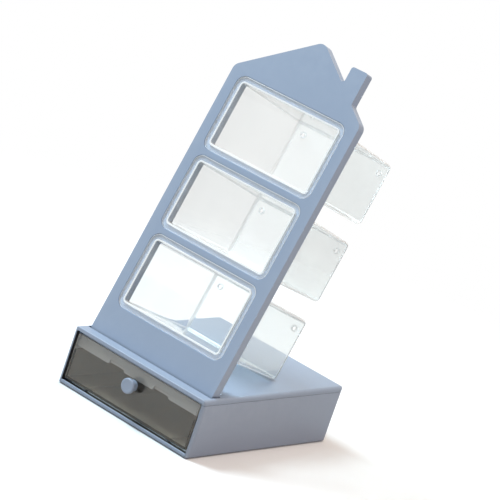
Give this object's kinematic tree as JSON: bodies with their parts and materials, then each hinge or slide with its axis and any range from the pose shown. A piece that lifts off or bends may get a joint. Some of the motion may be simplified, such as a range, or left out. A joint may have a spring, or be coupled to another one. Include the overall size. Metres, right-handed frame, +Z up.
{
  "type": "desk organizer with drawer",
  "caption": "House-shaped desk organizer: a leaning panel with pull-out clear bins stands in a low base that holds a drawer with a clear front and a round knob.",
  "frame": {"origin": "under the middle of the footprint, knob included, on the surface that the organizer stands on", "axes": "+Z up, the drawer and the bins open towards -Y, +X to the right for someone facing the front"},
  "size_m": [0.155, 0.2154, 0.3546],
  "materials": {
    "blue_plastic": "satin moulded",
    "clear_plastic": "clear gloss",
    "smoke_plastic": "slightly smoked clear gloss",
    "rubber": "matte",
    "screw_steel": "zinc plated"
  },
  "bodies": {
    "stand": {"base_tub": "blue_plastic", "base_lid": "blue_plastic", "foot_pad_front_left": "rubber", "foot_pad_front_right": "rubber", "foot_pad_rear_left": "rubber", "foot_pad_rear_right": "rubber", "house_panel": "blue_plastic", "panel_back_cover": "blue_plastic", "cover_screws": "screw_steel"},
    "drawer": {"drawer_tray": "smoke_plastic", "drawer_knob": "blue_plastic", "knob_screw": "screw_steel"},
    "bottom_bin": {"bin_bottom": "clear_plastic"},
    "middle_bin": {"bin_middle": "clear_plastic"},
    "top_bin": {"bin_top": "clear_plastic"}
  },
  "joints": [
    {"name": "drawer_slide", "type": "slide", "parent": "stand", "child": "drawer", "axis": [0, -1, 0], "range_m": [0, 0.178]},
    {"name": "bottom_bin_slide", "type": "slide", "parent": "stand", "child": "bottom_bin", "axis": [0, -0.9542, 0.299], "range_m": [0, 0.1]},
    {"name": "middle_bin_slide", "type": "slide", "parent": "stand", "child": "middle_bin", "axis": [0, -0.9542, 0.299], "range_m": [0, 0.1]},
    {"name": "top_bin_slide", "type": "slide", "parent": "stand", "child": "top_bin", "axis": [0, -0.9542, 0.299], "range_m": [0, 0.1]}
  ]
}
